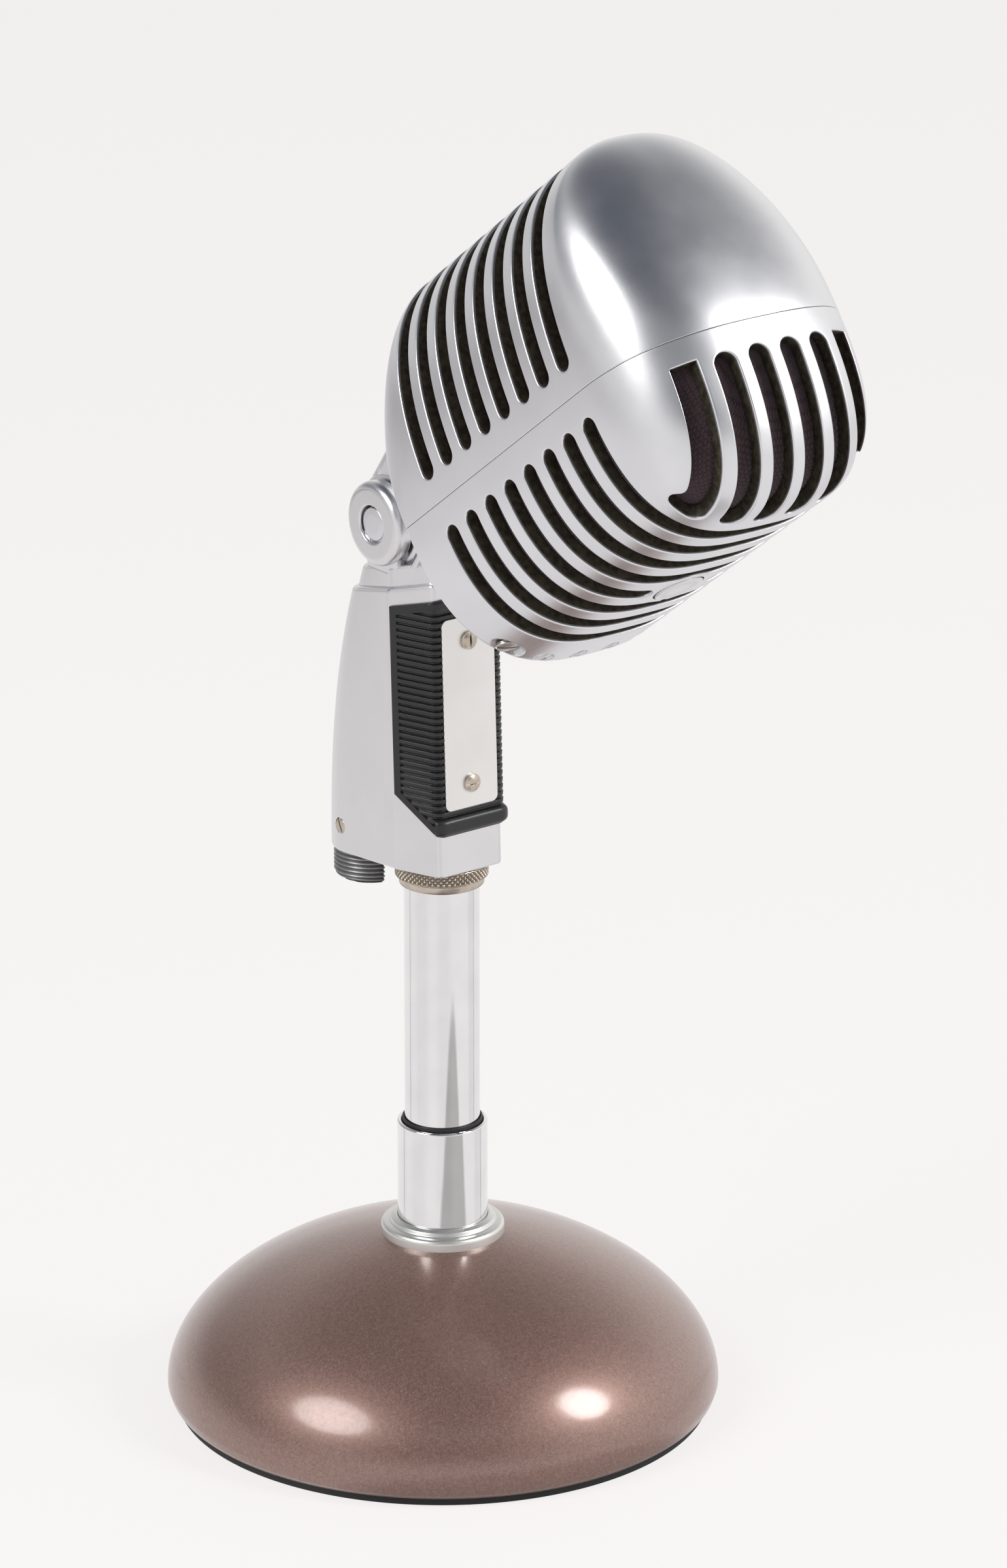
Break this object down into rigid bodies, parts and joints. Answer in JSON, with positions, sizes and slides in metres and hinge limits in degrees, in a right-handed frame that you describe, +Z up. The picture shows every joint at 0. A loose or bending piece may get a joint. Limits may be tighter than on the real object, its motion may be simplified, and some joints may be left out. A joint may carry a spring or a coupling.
{
  "type": "desk microphone",
  "caption": "Desk microphone with a ribbed two-shell metal head on a tilting swivel mount, a telescoping chromed tube and a heavy domed enamel base.",
  "frame": {"origin": "centre of the base pad's underside, on the stand tube's axis", "axes": "+Z up along the stand tube; the front of the microphone (nameplate, front shell) faces -Y; +X is across, along the tilt axis"},
  "size_m": [0.1172, 0.1722, 0.2876],
  "materials": {
    "enamel": "glossy metallic enamel",
    "pad": "matte",
    "iron": "raw casting",
    "satin_ring": "satin turned",
    "chrome": "mirror plated",
    "liner": "matte",
    "zinc": "plain zinc plate",
    "nickel": "aged nickel plate",
    "satin": "satin polished casting",
    "brass": "turned",
    "bakelite": "moulded, low sheen",
    "plate": "satin, blank",
    "insulator": "moulded",
    "contact": "tinned contact pins",
    "laminate": "paper laminate",
    "core": "stacked steel sheet",
    "winding": "varnished tape over wire",
    "fibre": "oiled fibre",
    "cloth": "woven lining",
    "rubber": "soft mount",
    "steel": "machined",
    "magnet": "ground alloy",
    "copper": "enamelled wire",
    "diaphragm": "thin varnished film"
  },
  "bodies": {
    "base": {"base_casting": "enamel", "base_pad": "pad", "base_ballast": "iron", "flange_ring": "satin_ring", "sleeve": "chrome", "sleeve_liner": "liner", "sleeve_plug": "zinc", "base_washer": "zinc", "base_nut": "zinc"},
    "tube": {"stand_tube": "chrome", "tube_stop": "zinc", "thread_spigot": "brass"},
    "lock_ring": {"lock_ring": "nickel"},
    "mount": {"mount_housing": "satin", "thread_bushing": "brass", "insert_panel": "bakelite", "nameplate": "plate", "nameplate_screws": "nickel", "connector_shell": "zinc", "connector_insulator": "insulator", "connector_pins": "contact", "connector_set_screw": "nickel", "selector_wafer": "laminate", "transformer_core": "core", "transformer_winding": "winding", "transformer_clip": "zinc", "swivel_fork": "satin", "fork_skirt": "zinc", "fork_screws": "nickel", "tilt_pin": "steel", "tilt_nut": "zinc", "pin_caps": "satin", "friction_washers": "fibre"},
    "selector": {"selector_knob": "insulator"},
    "head": {"head_knuckle": "satin", "neck_screws": "nickel", "front_shell": "satin", "rear_shell": "satin", "front_cloth": "cloth", "rear_cloth": "cloth", "badge": "satin", "chin_screws": "nickel", "cartridge_bracket": "zinc", "bracket_screws": "nickel", "rubber_mount": "rubber", "cartridge_cup": "steel", "magnet": "magnet", "pole_piece": "steel", "voice_coil": "copper", "diaphragm": "diaphragm", "resonator_cap": "zinc"}
  },
  "joints": [
    {"name": "tube_slide", "type": "slide", "parent": "base", "child": "tube", "axis": [0, 0, 1], "range_m": [0, 0.02]},
    {"name": "lock_ring_spin", "type": "hinge", "parent": "tube", "child": "lock_ring", "pos_m": [0, 0, 0.11876], "axis": [0, 0, 1], "continuous": true},
    {"name": "mount_turn", "type": "hinge", "parent": "tube", "child": "mount", "pos_m": [0, 0, 0.12626], "axis": [0, 0, 1], "range_deg": [-180, 180]},
    {"name": "selector_turn", "type": "hinge", "parent": "mount", "child": "selector", "pos_m": [0, 0.012, 0.11726], "axis": [0, 0, 1], "range_deg": [-45, 45]},
    {"name": "head_tilt", "type": "hinge", "parent": "mount", "child": "head", "pos_m": [0, 0.0064, 0.19476], "axis": [1, 0, 0], "range_deg": [-80, 5]}
  ]
}
